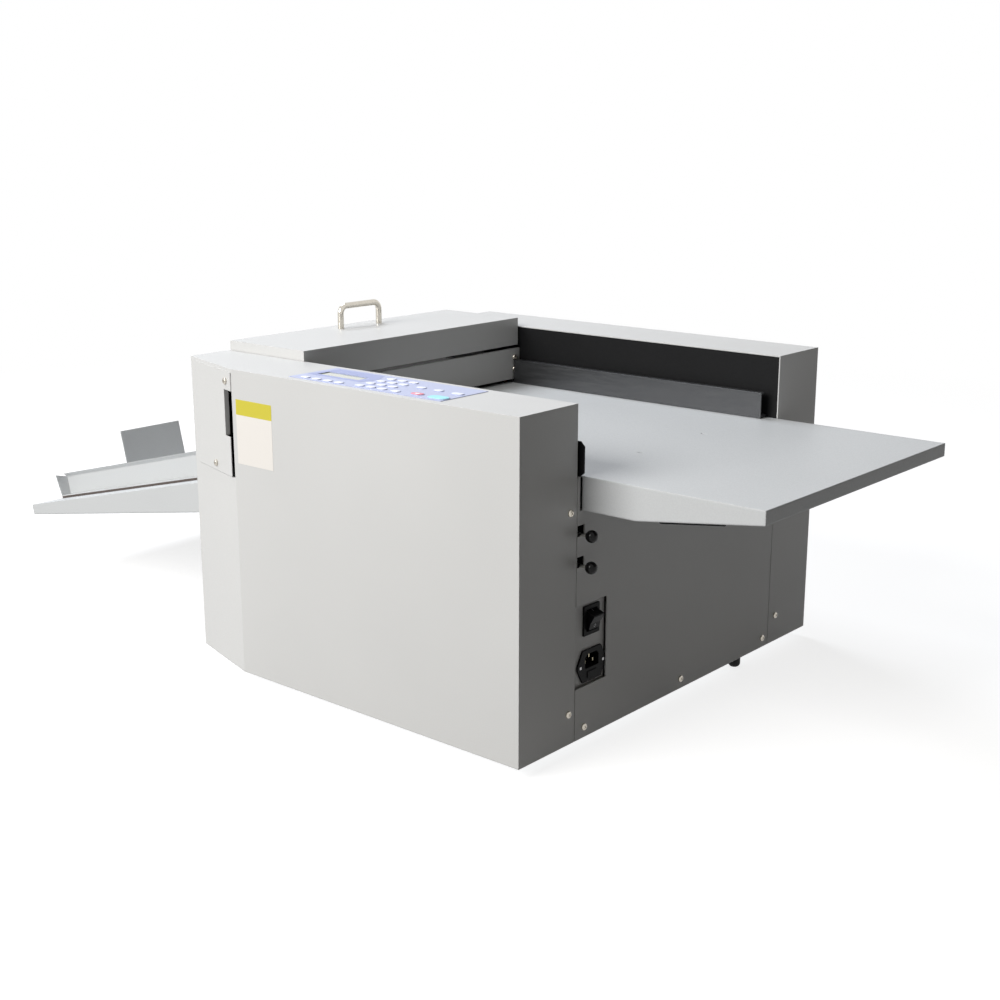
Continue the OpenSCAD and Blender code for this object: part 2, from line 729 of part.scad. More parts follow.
// Two angle rails inside the frames, under the table
rail_w = 26;
module table_rails() color("dimgray") placed() {
  for (m = [0, 1]) translate([0, m * casing_d, 0]) mirror([0, m, 0]) {
    block([table_in, front_y, table_z - sheet - 20], [-16, front_y + 2, table_z - sheet]);
    block([table_in, front_y + 1, table_z - sheet - 2], [-16, front_y + rail_w, table_z - sheet]);
  }
}

// Two plate arms that carry the table outside the casing, on the feed end's upper flange
arm_l = 170;
function arm_ys() = [table_y + 4, table_y1 - 16];
module table_arms() color("#202020") placed() for (y = arm_ys()) {
  slab_y(y, y + 2) polygon([
    [-14, panel_top], [-14, table_z - sheet], [arm_l, table_z - sheet], [arm_l, panel_top + 12.3],
    [95, panel_top + 1.5], [92, panel_top + 4.5], [60, panel_top + 1], [50, panel_top]
  ]);
  block([-14, y + 1, panel_top], [50, y + 12, panel_top + 2]);
}

// The black fence along the front frame, its far end a little past the casing
module front_side_guide() color("#141414") placed() {
  difference() {
    slab_y(front_y + 4.4, front_y + 6)
      polygon([
        [bay_x + 3, table_z - sheet], [bay_x + 3, table_z + front_guide_h], [0, table_z + front_guide_h],
        [5, table_z + front_guide_h - 5], [5, table_z + 4], [0, table_z + 0.3], [-16, table_z + 0.3], [-16, table_z - sheet]
      ]);
  }
  block([bay_x + 3, front_y + 0.6, table_z - sheet], [-16, front_y + 5, table_z]);
}

// The dark fence on the rear side: a strip with its foot and its top folded to the rear
guide_lift = 0.4;
guide_x0 = bay_x + 3;
guide_x1 = -15;
guide_y = rear_y - rear_guide_in;
module rear_side_guide() color("#5a5a5a") placed() {
  block([guide_x0, guide_y, table_z + guide_lift], [guide_x1, guide_y + sheet, table_z + rear_guide_h]);
  block([guide_x0, guide_y + 1, table_z + guide_lift + 1.5], [guide_x1, rear_y - 1.2, table_z + guide_lift + 3]);
  block([guide_x0, guide_y, table_z + rear_guide_h - sheet], [guide_x1, guide_y + 8, table_z + rear_guide_h]);
}

// The block on the guide bar, and its tongue that passes under the lower panel
module guide_carriage() color("#303030") placed() {
  difference() {
    union() {
      block([bar_x - carriage_w / 2, guide_y + 2, bar_z - 6], [bar_x + carriage_w / 2, rear_y - 2.3, bar_z + 6]);
      block([bar_x + carriage_w / 2 - 3, guide_y + 2, table_z + guide_lift], [bar_x + carriage_w / 2, rear_y - 2.3, bar_z]);
      block([bar_x + carriage_w / 2 - 3, guide_y + 2, table_z + guide_lift], [bay_x + 24, rear_y - 2.3, table_z + guide_lift + 1.5]);
    }
    rod_y(bar_x, bar_z, guide_y, rear_y, bar_r + fit);
  }
}

module guide_bar() color("silver") placed() rod_y(bar_x, bar_z, front_y - frame_t, rear_y + frame_t, bar_r);

// The angles that hold the lower panel between the frames
module panel_brackets() color("dimgray") placed() {
  difference() {
    for (m = [0, 1]) translate([0, m * casing_d, 0]) mirror([0, m, 0]) {
      block([bay_x - sheet - 2, front_y, paper_z + 6], [bay_x - sheet, front_y + 18, paper_z + 41]);
      block([bay_x - 15.5, front_y, paper_z + 6], [bay_x - sheet - 1, front_y + 2, paper_z + 41]);
    }
    panel_screw_holes();
    rod_y(bar_x, bar_z, front_y - 1, rear_y + 1, bar_r);
  }
}

// ---- rollers and drive -------------------------------------------------------------

// A stepped shaft between the frames with journals to both sides
module roller_shaft(x, z, y0, y1) {
  rod_y(x, z, y0, y1, shaft_r);
  rod_y(x, z, front_y + 3, rear_y - 3, shaft_r + 2);
}

sleeve_l = 46;
sleeve_n = 5;
function sleeve_y(i) = front_y + 20 + (rear_y - front_y - 40 - sleeve_l) / (sleeve_n - 1) * i;
module sleeves(x, z) {
  for (i = [0:sleeve_n - 1]) difference() {
    rod_y(x, z, sleeve_y(i), sleeve_y(i) + sleeve_l, roller_d / 2);
    rod_y(x, z, sleeve_y(i) - 1, sleeve_y(i) + sleeve_l + 1, shaft_r + 2);
  }
}

gear_y = rear_y + frame_t + 5;
module feed_drive_shaft() color("silver") placed() roller_shaft(nip_x, low_z, pulley_y0 - 3, gear_y + gear_w + 2);
module exit_drive_shaft() color("silver") placed() roller_shaft(exit_x, low_z, pulley_y0 - 3, rear_y + frame_t + 4);
module feed_drive_sleeves() color("#2a2a2a") placed() sleeves(nip_x, low_z);
module exit_drive_sleeves() color("#2a2a2a") placed() sleeves(exit_x, low_z);

module pressure_roller(x, y1) {
  rod_y(x, high_z, front_y - frame_t - 4, y1, shaft_r);
  rod_y(x, high_z, front_y + 3, rear_y - 3, shaft_r + 2);
  rod_y(x, high_z, sleeve_y(0), sleeve_y(sleeve_n - 1) + sleeve_l, roller_d / 2);
}
module feed_pressure_roller() color("silver") placed() pressure_roller(nip_x, gear_y + gear_w + 2);
module exit_pressure_roller() color("silver") placed() pressure_roller(exit_x, rear_y + frame_t + 4);

// Flanged bushes, pressed into the frames from outside
module bush(x, z, hole) {
  for (m = [0, 1]) translate([0, m * casing_d, 0]) mirror([0, m, 0]) difference() {
    union() {
      rod_y(x, z, front_y - frame_t - 0.1, front_y + 1, bush_r);
      rod_y(x, z, front_y - frame_t - 2, front_y - frame_t, bush_r + 2);
    }
    rod_y(x, z, front_y - frame_t - 3, front_y + 2, hole + fit);
  }
}
module shaft_bushes() color("peru") placed() {
  for (x = [nip_x, exit_x], z = [low_z, high_z]) bush(x, z, shaft_r);
  bush(crease_x, crank_z, shaft_r + 1);
}

module feed_drive_gear() color("white") placed() bored_gear(nip_x, low_z, gear_y, feed_teeth, 0, shaft_r);
module feed_pressure_gear() color("white") placed()
  bored_gear(nip_x, high_z, gear_y, feed_teeth, 180 / feed_teeth, shaft_r);

// A gear with its bore and a hub; turn is the angle of its first tooth
module bored_gear(x, z, y, teeth, turn, bore) {
  scale_r = (roller_d + nip_gap) / (feed_teeth + 0.3);
  difference() {
    slab_y(y, y + gear_w) translate([x, z]) rotate(turn) scale(scale_r) gear_outline(teeth);
    rod_y(x, z, y - 1, y + gear_w + 1, bore);
  }
}

module feed_pulley() color("gray") placed() pulley(nip_x, low_z, pulley_y0, pulley_teeth, shaft_r);
module exit_pulley() color("gray") placed() pulley(exit_x, low_z, pulley_y0, pulley_teeth, shaft_r);

// The motor's rotor and shaft, with its pulley
module motor_pulley() color("gray") placed() {
  rod_y(motor_x, motor_z, pulley_y0 - 3, front_y + motor_l - motor_wall - 0.3, motor_shaft_r);
  rod_y(motor_x, motor_z, front_y + motor_wall + 2, front_y + motor_l - motor_wall - 2, rotor_r);
  pulley(motor_x, motor_z, pulley_y0, motor_teeth, motor_shaft_r);
}

// The timing belt round the three pulleys
belt_clear = 0.15;
module belt_outline(extra) {
  big = pulley_teeth * belt_pitch / (2 * PI) + extra;
  small = motor_teeth * belt_pitch / (2 * PI) + extra;
  hull() {
    translate([nip_x, low_z]) circle(r = big, $fn = 60);
    translate([exit_x, low_z]) circle(r = big, $fn = 60);
    translate([motor_x, motor_z]) circle(r = small, $fn = 60);
  }
}
module drive_belt() color("#202020") placed() {
  slab_y(pulley_y0 + 0.5, pulley_y0 + pulley_w - 0.5) difference() {
    belt_outline(belt_clear + belt_t);
    belt_outline(belt_clear);
  }
}

// A square stepper motor; its face lies on y = 0 and its body runs along -Y
module motor_body() {
  c = 6;
  h = motor_w / 2;
  difference() {
    union() {
      for (seg = [[-10, 0, 0], [-motor_l + 10, -10, 1], [-motor_l, -motor_l + 10, 0]])
        slab_y(seg[0], seg[1]) offset_square(h - seg[2], c);
      rod_y(0, 0, 0, 1.6, pilot_r);
    }
    rod_y(0, 0, -motor_wall - 1, 3, motor_shaft_r + fit);
    rod_y(0, 0, -motor_l + motor_wall, -motor_wall, rotor_r + 0.5);
  }
}
module offset_square(h, c) polygon([
  [-h, -h + c], [-h + c, -h], [h - c, -h], [h, -h + c], [h, h - c], [h - c, h], [-h + c, h], [-h, h - c]
]);

// The feed motor stands inside the frames, its pilot in the front frame
module feed_motor() color("#303030") placed() translate([motor_x, front_y, motor_z]) mirror([0, 1, 0]) motor_body();

// The crease motor stands in the front housing on its bracket
bracket_y = front_y - 27;
module crease_motor() color("#303030") placed() translate([pinion_x, bracket_y, pinion_z]) motor_body();
module crease_pinion() color("gray") placed() {
  rod_y(pinion_x, pinion_z, bracket_y - motor_l + motor_wall + 0.3, pulley_y0 + 12, motor_shaft_r);
  rod_y(pinion_x, pinion_z, bracket_y - motor_l + motor_wall + 2, bracket_y - motor_wall - 2, rotor_r);
  slab_y(pulley_y0 + 1, pulley_y0 + 11) translate([pinion_x, pinion_z]) gear_outline(pinion_teeth);
}

// Plate with four pillars that carries the crease motor off the front frame
module motor_bracket() color("silver") placed() difference() {
  union() {
    block([pinion_x - 50, bracket_y, pinion_z - 46], [bay_x + 8, bracket_y + 3, pinion_z + 46]);
    for (p = bracket_pillars())
      rod_y(p[0], p[1], bracket_y + 2, front_y - frame_t, 4);
  }
  rod_y(pinion_x, pinion_z, bracket_y - 1, bracket_y + 4, pilot_r + 0.2);
}
function bracket_pillars() = [
  [crease_x - 30, crank_z + 13], [bay_x + 2, crank_z + 13],
  [bay_x + 2, low_z + 8], [crease_x, low_z - 9]
];

// ---- creasing unit -----------------------------------------------------------------

// The shaft with one eccentric disc near each end, at the top of its turn
module eccentric_shaft() color("silver") placed() {
  rod_y(crease_x, crank_z, pulley_y0 - 2, rear_y + frame_t + 4, shaft_r + 1);
  rod_y(crease_x, crank_z, front_y + 3, rear_y - 3, shaft_r + 3);
  rod_y(crease_x, crank_z, front_y + cam_in + cam_w + 2, rear_y - cam_in - cam_w - 2, shaft_r + 5);
  for (y = [front_y + cam_in, rear_y - cam_in - cam_w])
    rod_y(crease_x, crank_z + crank_r, y, y + cam_w, cam_r);
}

module crank_gear() color("gray") placed() difference() {
  slab_y(pulley_y0 + 2, pulley_y0 + 10) translate([crease_x, crank_z]) gear_outline(crank_teeth);
  rod_y(crease_x, crank_z, pulley_y0, pulley_y0 + 12, shaft_r + 1);
}

// The moving beam: a bar guided in the frames, with a yoke round each eccentric
yoke_w = 2 * (cam_r + crank_r) + 12;
yoke_top = crank_z + crank_r + cam_r + window_clear + 5;
module blade_beam() color("darkgray") placed() {
  difference() {
    union() {
      block([crease_x - beam_w / 2, front_y - frame_t + 0.3, beam_z0], [crease_x + beam_w / 2, rear_y + frame_t - 0.3, beam_z0 + beam_h]);
      for (y = [front_y + cam_in + 1, rear_y - cam_in - cam_w + 1])
        block([crease_x - yoke_w / 2, y, beam_z0 + beam_h - 4], [crease_x + yoke_w / 2, y + cam_w - 2, yoke_top]);
    }
    for (y = [front_y + cam_in, rear_y - cam_in - cam_w])
      block([crease_x - cam_r - crank_r - 0.6, y, crank_z + crank_r - cam_r - window_clear],
            [crease_x + cam_r + crank_r + 0.6, y + cam_w, crank_z + crank_r + cam_r + window_clear]);
    block([crease_x - blade_t / 2, front_y - frame_t, beam_z0 - 1], [crease_x + blade_t / 2, rear_y + frame_t, beam_z0 + 8]);
  }
}

module creasing_blade() color("silver") placed()
  block([crease_x - blade_t / 2, front_y + 6, blade_z0], [crease_x + blade_t / 2, rear_y - 6, beam_z0 + 8]);

// The grooved bar under the paper
module crease_anvil() color("gray") placed() difference() {
  block([crease_x - anvil_w / 2, front_y, paper_z - 16], [crease_x + anvil_w / 2, rear_y, paper_z - 0.2]);
  block([crease_x - groove_w / 2, front_y - 1, paper_z - 0.2 - groove_d], [crease_x + groove_w / 2, rear_y + 1, paper_z]);
}

// ---- delivery tray -------------------------------------------------------------------

// Side outline of the tray in X and Z, drawn in by a wall
function tray_outline(inset) = let (
  c = cos(tray_angle), s = sin(tray_angle),
  tip = [out_x - tray_reach, tray_tip_z],
  top_end = [out_x - shaft_clear - inset, tray_z - shaft_clear * tan(tray_angle) - inset * tan(tray_angle)],
  drop = inset / c
) [
  tip + inset * [c, s] - drop * [0, 1] * 0 + inset * [s, -c],
  tip + inset * [c, s] + (tray_tip_h + (inset > 0 ? 40 : 0)) * [s, -c],
  [out_x - shaft_clear - inset, tray_z - tray_skirt - (inset > 0 ? 40 : 0)],
  top_end - [0, drop]
];
function tray_hook_ys() = [tray_y0 + 60, tray_y1 - 60];
module delivery_tray() color("lightgray") placed() {
  difference() {
    slab_y(tray_y0, tray_y1) polygon(tray_outline(0));
    slab_y(tray_y0 + sheet, tray_y1 - sheet) polygon(tray_outline(sheet));
  }
  for (y = tray_hook_ys()) translate([0, y, tray_z - tray_skirt]) {
    block([out_x - shaft_clear - sheet, -10, 10], [out_x + sheet + 2.5, 10, 12]);
    block([out_x + sheet + 0.5, -10, 0], [out_x + sheet + 2.5, 10, 12]);
  }
}

// The tray's side guide: a plate with its foot and its end folded towards the operator,
// a lip leaning out along its rising top edge, and a magnetic strip under the foot
module tray_guide() color("lightgray") placed() on_tray() translate([tray_guide_s, tray_guide_y, 0]) {
  top = magnet_t + tray_guide_h;
  slab_y(0, plate_t) polygon([
    [0, magnet_t], [tray_guide_l, magnet_t], [tray_guide_l, top + tray_guide_rise - tray_lip + 0.5], [0, top - tray_lip + 0.5]
  ]);
  block([0, -tray_flange, magnet_t], [tray_guide_l, plate_t, magnet_t + plate_t]);
  rotate([90, 0, 90]) linear_extrude(plate_t)
    polygon([[plate_t, magnet_t], [-tray_flange, magnet_t], [-tray_flange - 3.8, top - 0.4], [plate_t, top - tray_lip]]);
  translate([0, 0, top]) rotate([0, -atan(tray_guide_rise / tray_guide_l), 0]) rotate([90, 0, 90]) linear_extrude(tray_guide_l)
    polygon([[0, -tray_lip], [-4.2, 0], [-2.6, 0], [plate_t, 0.6 - tray_lip], [plate_t, -tray_lip]]);
  block([0, -tray_flange + 0.2, 0.1], [tray_guide_l, -tray_flange + 12, magnet_t]);
}

// The paper stop near the tip of the tray, on its magnetic foot
module tray_stop() color("lightgray") placed() on_tray() translate([stop_s, mid_y - stop_w / 2, 0]) {
  block([-plate_t, 0, magnet_t], [0, stop_w, magnet_t + stop_h]);
  block([-34, 0, magnet_t], [0, stop_w, magnet_t + plate_t]);
  block([-32, 3, 0.1], [-2, stop_w - 3, magnet_t]);
}

// ---- drawing ----------------------------------------------------------------------------

base_plate();
front_housing();
rear_housing();
front_side_frame();
rear_side_frame();
feed_end_panel();
delivery_end_panel();
lower_feed_panel();
facet_plate();
keypad_membrane();
display_module();
control_board();
power_supply();
power_plate();
inlet_socket();
switch_body();
switch_rocker();
upper_lever();
upper_knob();
lower_lever();
lower_knob();
lever_pivots();
top_cover();
cover_handle();
hinge_pins();
feed_table();
table_rails();
table_arms();
front_side_guide();
rear_side_guide();
guide_carriage();
guide_bar();
panel_brackets();
feed_drive_shaft();
feed_drive_sleeves();
feed_pressure_roller();
exit_drive_shaft();
exit_drive_sleeves();
exit_pressure_roller();
shaft_bushes();
feed_drive_gear();
feed_pressure_gear();
feed_pulley();
exit_pulley();
motor_pulley();
drive_belt();
feed_motor();
crease_motor();
motor_bracket();
crease_pinion();
eccentric_shaft();
crank_gear();
blade_beam();
creasing_blade();
crease_anvil();
delivery_tray();
tray_guide();
tray_stop();
rubber_feet();
casing_screws();
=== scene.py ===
import math

import bmesh
import bpy
from mathutils import Matrix, Vector


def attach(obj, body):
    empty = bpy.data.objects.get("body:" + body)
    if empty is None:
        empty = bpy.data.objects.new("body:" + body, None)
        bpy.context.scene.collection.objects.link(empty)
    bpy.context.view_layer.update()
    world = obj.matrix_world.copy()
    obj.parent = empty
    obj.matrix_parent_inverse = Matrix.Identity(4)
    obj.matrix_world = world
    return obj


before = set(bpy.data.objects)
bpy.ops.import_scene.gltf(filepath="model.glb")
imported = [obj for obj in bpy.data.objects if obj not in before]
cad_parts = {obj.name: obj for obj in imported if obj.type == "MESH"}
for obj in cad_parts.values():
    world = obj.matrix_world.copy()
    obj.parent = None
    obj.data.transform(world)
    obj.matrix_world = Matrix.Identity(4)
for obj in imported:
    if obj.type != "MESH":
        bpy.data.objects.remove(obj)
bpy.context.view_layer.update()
scene = bpy.context.scene

# ---- Camera ------------------------------------------------------------------
# The machine is seen from the feed end and the operator's side, from a little
# above the table, at the distance of a long product shot.

corner_x, corner_y, corner_z = 405, -294, 14


def at(x, y, z):
    """A place counted in mm from the casing's feed end, operator's face and underside."""
    return Vector((x + corner_x, y + corner_y, z + corner_z)) / 1000


camera_lens = 53.48
sensor_width = 36
camera_turn = math.radians(40.467)
camera_rise = math.radians(14.518)
camera_place = at(901.45, -1086.09, 652.8)

camera_data = bpy.data.cameras.new("product_camera")
camera_data.lens = camera_lens
camera_data.sensor_width = sensor_width
camera = bpy.data.objects.new("product_camera", camera_data)
scene.collection.objects.link(camera)
away = Vector((
    math.sin(camera_turn) * math.cos(camera_rise),
    -math.cos(camera_turn) * math.cos(camera_rise),
    math.sin(camera_rise),
))
camera.location = camera_place
camera.rotation_euler = away.to_track_quat("Z", "Y").to_euler()
scene.camera = camera

# ---- Studio ------------------------------------------------------------------
# White paper on the floor, a large soft box in front of the operator's face and
# a smaller one above the delivery tray, so that the feed end stands in shade.


def colour(value):
    """A colour written as sRGB hex, in the linear values that a shader reads."""
    channels = [int(value[i : i + 2], 16) / 255 for i in (1, 3, 5)]
    linear = [c / 12.92 if c <= 0.04045 else ((c + 0.055) / 1.055) ** 2.4 for c in channels]
    return linear + [1]


def add(tree, kind, inputs=(), **settings):
    """Adds one node. An input takes a value, or (node, output) to link it."""
    n = tree.nodes.new(kind)
    for key, value in settings.items():
        setattr(n, key, value)
    for key, value in dict(inputs).items():
        if isinstance(value, tuple) and isinstance(value[0], bpy.types.Node):
            tree.links.new(value[0].outputs[value[1]], n.inputs[key])
        else:
            n.inputs[key].default_value = value
    return n


def start(name):
    """A new material's tree, emptied."""
    m = bpy.data.materials.new(name)
    m.use_nodes = True
    m.node_tree.nodes.clear()
    return m, m.node_tree


def seen_directly(tree):
    """One for rays from the camera, mirrored or through glass, and nought for diffuse light."""
    path = add(tree, "ShaderNodeLightPath")
    first = add(tree, "ShaderNodeMath", {
        0: (path, "Is Camera Ray"), 1: (path, "Is Glossy Ray"),
    }, operation="MAXIMUM")
    return add(tree, "ShaderNodeMath", {
        0: (first, 0), 1: (path, "Is Transmission Ray"),
    }, operation="MAXIMUM")


# Matt white paper: to the eye it is nearly white where the object's shadow falls
# and fades to plain white further out, and it throws little light back up.
floor_size = 14
fade_start, fade_end = 1.2, 2.4
white_light = (1, 1, 1, 1)

paper, t = start("white_sweep_paper")
seen = seen_directly(t)
place = add(t, "ShaderNodeTexCoord")
reach = add(t, "ShaderNodeVectorMath", {0: (place, "Object")}, operation="LENGTH")
far = add(t, "ShaderNodeMapRange", {
    "Value": (reach, "Value"), 1: fade_start, 2: fade_end, 3: 0.0, 4: 1.0,
})
matt = add(t, "ShaderNodeBsdfDiffuse", {"Color": colour("#8C8C8C")})
pale = add(t, "ShaderNodeBsdfDiffuse", {"Color": colour("#A2A2A2")})
lift = add(t, "ShaderNodeEmission", {"Color": white_light, "Strength": 0.80})
glow = add(t, "ShaderNodeEmission", {"Color": white_light, "Strength": 1.0})
both = add(t, "ShaderNodeAddShader", {0: (pale, 0), 1: (lift, 0)})
sweep = add(t, "ShaderNodeMixShader", {0: (far, 0), 1: (both, 0), 2: (glow, 0)})
mixed = add(t, "ShaderNodeMixShader", {0: (seen, 0), 1: (matt, 0), 2: (sweep, 0)})
add(t, "ShaderNodeOutputMaterial", {"Surface": (mixed, 0)})

bm = bmesh.new()
bmesh.ops.create_grid(bm, x_segments=2, y_segments=2, size=floor_size)
floor_mesh = bpy.data.meshes.new("studio_floor")
bm.to_mesh(floor_mesh)
bm.free()
floor_mesh.materials.append(paper)
floor = bpy.data.objects.new("studio_floor", floor_mesh)
scene.collection.objects.link(floor)

world = bpy.data.worlds.new("studio_air")
world.use_nodes = True
t = world.node_tree
t.nodes.clear()
seen = seen_directly(t)
dim = add(t, "ShaderNodeBackground", {"Color": colour("#FFF6E8"), "Strength": 0.06})
white = add(t, "ShaderNodeBackground", {"Color": white_light, "Strength": 1.0})
mixed = add(t, "ShaderNodeMixShader", {0: (seen, 0), 1: (dim, 0), 2: (white, 0)})
add(t, "ShaderNodeOutputWorld", {"Surface": (mixed, 0)})
scene.world = world

lamps_aim = Vector((0, 0, 0.2))
for name, place, size, power, tint in (
    ("key_softbox", (-0.5, -3.0, 2.1), 2.0, 158, "#FFFEFC"),
    ("top_softbox", (-1.3, 0.3, 2.5), 1.4, 53, "#F2F7FF"),
):
    lamp_data = bpy.data.lights.new(name, "AREA")
    lamp_data.size = size
    lamp_data.energy = power
    lamp_data.color = colour(tint)[:3]
    lamp = bpy.data.objects.new(name, lamp_data)
    lamp.location = place
    lamp.rotation_euler = (Vector(place) - lamps_aim).to_track_quat("Z", "Y").to_euler()
    scene.collection.objects.link(lamp)
scene.view_settings.view_transform = "Standard"

# ---- Casing ------------------------------------------------------------------
# Folded sheet steel of 1.5 mm, powder coated light grey: the two side housings,
# the end panels, the lower panel, the cover and the plate on the angled face.

patch_scale = 5.0
grain_shade = colour("#3A3B3D")


def coated(name, tone, grain_mm, rough, grain_share, bump_mm, edge_mm, glare=0.4):
    """Powder coat on folded steel: a fine dry grain, softly rounded folds, a low gloss."""
    m, t = start(name)
    place = add(t, "ShaderNodeTexCoord")
    fine = add(t, "ShaderNodeTexNoise", {
        "Vector": (place, "Object"), "Scale": 1000 / grain_mm, "Detail": 2.0,
    })
    broad = add(t, "ShaderNodeTexNoise", {
        "Vector": (place, "Object"), "Scale": patch_scale, "Detail": 2.0,
    })
    share = add(t, "ShaderNodeMapRange", {
        "Value": (fine, 0), 1: 0.35, 2: 0.65, 3: 0.0, 4: grain_share,
    })
    patch = add(t, "ShaderNodeMapRange", {
        "Value": (broad, 0), 1: 0.3, 2: 0.7, 3: 0.0, 4: 0.035,
    })
    total = add(t, "ShaderNodeMath", {0: (share, 0), 1: (patch, 0)}, operation="ADD")
    shade = add(t, "ShaderNodeMix", {
        0: (total, 0), 6: colour(tone), 7: grain_shade,
    }, data_type="RGBA")
    gloss = add(t, "ShaderNodeMapRange", {
        "Value": (fine, 0), 1: 0.3, 2: 0.7, 3: rough - 0.05, 4: rough + 0.06,
    })
    fold = add(t, "ShaderNodeBevel", {"Radius": edge_mm / 1000}, samples=6)
    skin = add(t, "ShaderNodeBump", {
        "Height": (fine, 0), "Distance": bump_mm / 1000, "Strength": 0.6, "Normal": (fold, 0),
    })
    body = add(t, "ShaderNodeBsdfPrincipled", {
        "Base Color": (shade, 2), "Roughness": (gloss, 0), "Normal": (skin, 0),
        "IOR": 1.5, "Specular IOR Level": glare,
    })
    add(t, "ShaderNodeOutputMaterial", {"Surface": (body, 0)})
    return m


def finish_nodes(material, *names):
    """Gives CAD nodes their finish."""
    for name in names:
        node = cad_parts[name]
        if not node.material_slots:
            node.data.materials.append(material)
        for s in node.material_slots:
            s.material = material


# Satin polyester powder: an even light grey, dry rather than glossy. The real
# grain is a few tenths of a millimetre; it is drawn 1 mm coarse, so that it shows.
casing_coat = coated("light_grey_powder_coat", "#C7C7C6", 1.0, 0.40, 0.05, 0.06, 1.1)
finish_nodes(
    casing_coat, "front_housing", "rear_housing", "feed_end_panel", "delivery_end_panel",
    "lower_feed_panel", "top_cover", "facet_plate", "power_plate",
)

# ---- Side frames and black steel ---------------------------------------------
# The two 3 mm frames that carry the works, with the rails and the front fence
# screwed to them, and the carriage that runs on the rear guide's bar.

# Matt black powder: nearly no gloss, so that it stays dark beside the casing.
black_coat = coated("black_powder_coat", "#0F0F10", 1.2, 0.50, 0.06, 0.05, 0.8, glare=0.14)
finish_nodes(
    black_coat, "front_side_frame", "rear_side_frame", "front_side_guide", "table_rails",
    "table_arms", "panel_brackets",
)
# Dark grey coat: a shade lighter than the frames behind it.
dark_coat = coated("dark_grey_coat", "#3A3A3C", 1.0, 0.42, 0.08, 0.04, 0.8, glare=0.25)
finish_nodes(dark_coat, "guide_carriage")

# ---- Feed table and delivery tray --------------------------------------------
# One folded sheet each, with rounder folds than the casing's, and with them the
# tray's guide and stop of the same coated sheet.

# The casing's coat, cooler and with a rougher grain on these flat tops.
table_coat = coated("table_powder_coat", "#C1C3C4", 1.5, 0.46, 0.05, 0.10, 2.5)
finish_nodes(table_coat, "feed_table", "delivery_tray", "tray_guide", "tray_stop")

# ---- Bare metals -------------------------------------------------------------
# Ground shafts, plated pins and screws, the nickelled handle, zinc-plated plates
# and machined aluminium, each with the marks of how it was made.

mark_depth = 0.00002
mark_shade = colour("#6B6A68")


def metal(name, tone, rough, stretch, mark_mm, mark, edge_mm=0.3):
    """Bare or plated metal: fine marks drawn out along the way it was ground or turned."""
    m, t = start(name)
    place = add(t, "ShaderNodeTexCoord")
    lay = add(t, "ShaderNodeMapping", {"Vector": (place, "Object"), "Scale": stretch})
    marks = add(t, "ShaderNodeTexNoise", {
        "Vector": (lay, 0), "Scale": 1000 / mark_mm, "Detail": 3.0,
    })
    gloss = add(t, "ShaderNodeMapRange", {
        "Value": (marks, 0), 1: 0.3, 2: 0.7, 3: rough - mark, 4: rough + mark,
    })
    tint = add(t, "ShaderNodeMapRange", {"Value": (marks, 0), 1: 0.3, 2: 0.7, 3: 0.0, 4: 0.16})
    shade = add(t, "ShaderNodeMix", {
        0: (tint, 0), 6: colour(tone), 7: mark_shade,
    }, data_type="RGBA")
    fold = add(t, "ShaderNodeBevel", {"Radius": edge_mm / 1000}, samples=4)
    skin = add(t, "ShaderNodeBump", {
        "Height": (marks, 0), "Distance": mark_depth, "Strength": 0.5, "Normal": (fold, 0),
    })
    body = add(t, "ShaderNodeBsdfPrincipled", {
        "Base Color": (shade, 2), "Roughness": (gloss, 0), "Normal": (skin, 0), "Metallic": 1.0,
    })
    add(t, "ShaderNodeOutputMaterial", {"Surface": (body, 0)})
    return m


# Ground along its length, which lies across the machine: long satin streaks.
ground_steel = metal("ground_steel", "#C9C8C5", 0.24, (1, 0.05, 1), 1.2, 0.06)
finish_nodes(
    ground_steel, "guide_bar", "hinge_pins", "feed_drive_shaft", "exit_drive_shaft",
    "feed_pressure_roller", "exit_pressure_roller", "eccentric_shaft", "crank_gear",
    "crease_pinion", "lever_pivots",
)
# Plated rod, drawn along the machine: bright, with faint streaks.
lever_steel = metal("plated_lever_rod", "#CFCDC8", 0.22, (0.1, 1, 1), 1.0, 0.05)
finish_nodes(lever_steel, "upper_lever", "lower_lever")
# Bright nickel: nearly a mirror, a little warm.
nickel = metal("bright_nickel", "#D8D2C6", 0.10, (1, 1, 1), 4.0, 0.03)
finish_nodes(nickel, "cover_handle")
# Plated screws: satin and warmer than the steel round them.
screw_plate = metal("plated_screw_steel", "#BDB7AC", 0.24, (1, 1, 1), 0.8, 0.06)
finish_nodes(screw_plate, "casing_screws")
# Zinc-plated sheet: dull, with broad cloudy patches.
zinc = metal("zinc_plated_sheet", "#BFC3C6", 0.34, (1, 1, 1), 9.0, 0.10)
finish_nodes(zinc, "base_plate", "power_supply", "motor_bracket")
# Hardened and ground tool steel: darker, with fine streaks along the edge.
tool_steel = metal("ground_tool_steel", "#9A9A9B", 0.28, (1, 0.04, 1), 0.8, 0.08)
finish_nodes(tool_steel, "creasing_blade", "crease_anvil")
# Machined aluminium: pale, with fine tool marks.
aluminium = metal("machined_aluminium", "#D5D7D9", 0.30, (0.2, 1, 1), 0.9, 0.08)
finish_nodes(aluminium, "feed_pulley", "exit_pulley", "motor_pulley")
# Aluminium in painted shade: near-black and satin, so that the gap under the cover is dark.
gap_shade_aluminium = metal("near_black_gap_shade_aluminium", "#2B2B2D", 0.42, (1, 0.05, 1), 1.0, 0.06)
finish_nodes(gap_shade_aluminium, "blade_beam")
# Sintered bronze: brown and dull, with an open grain.
bronze = metal("sintered_bronze", "#B98A58", 0.42, (1, 1, 1), 0.6, 0.08)
finish_nodes(bronze, "shaft_bushes")
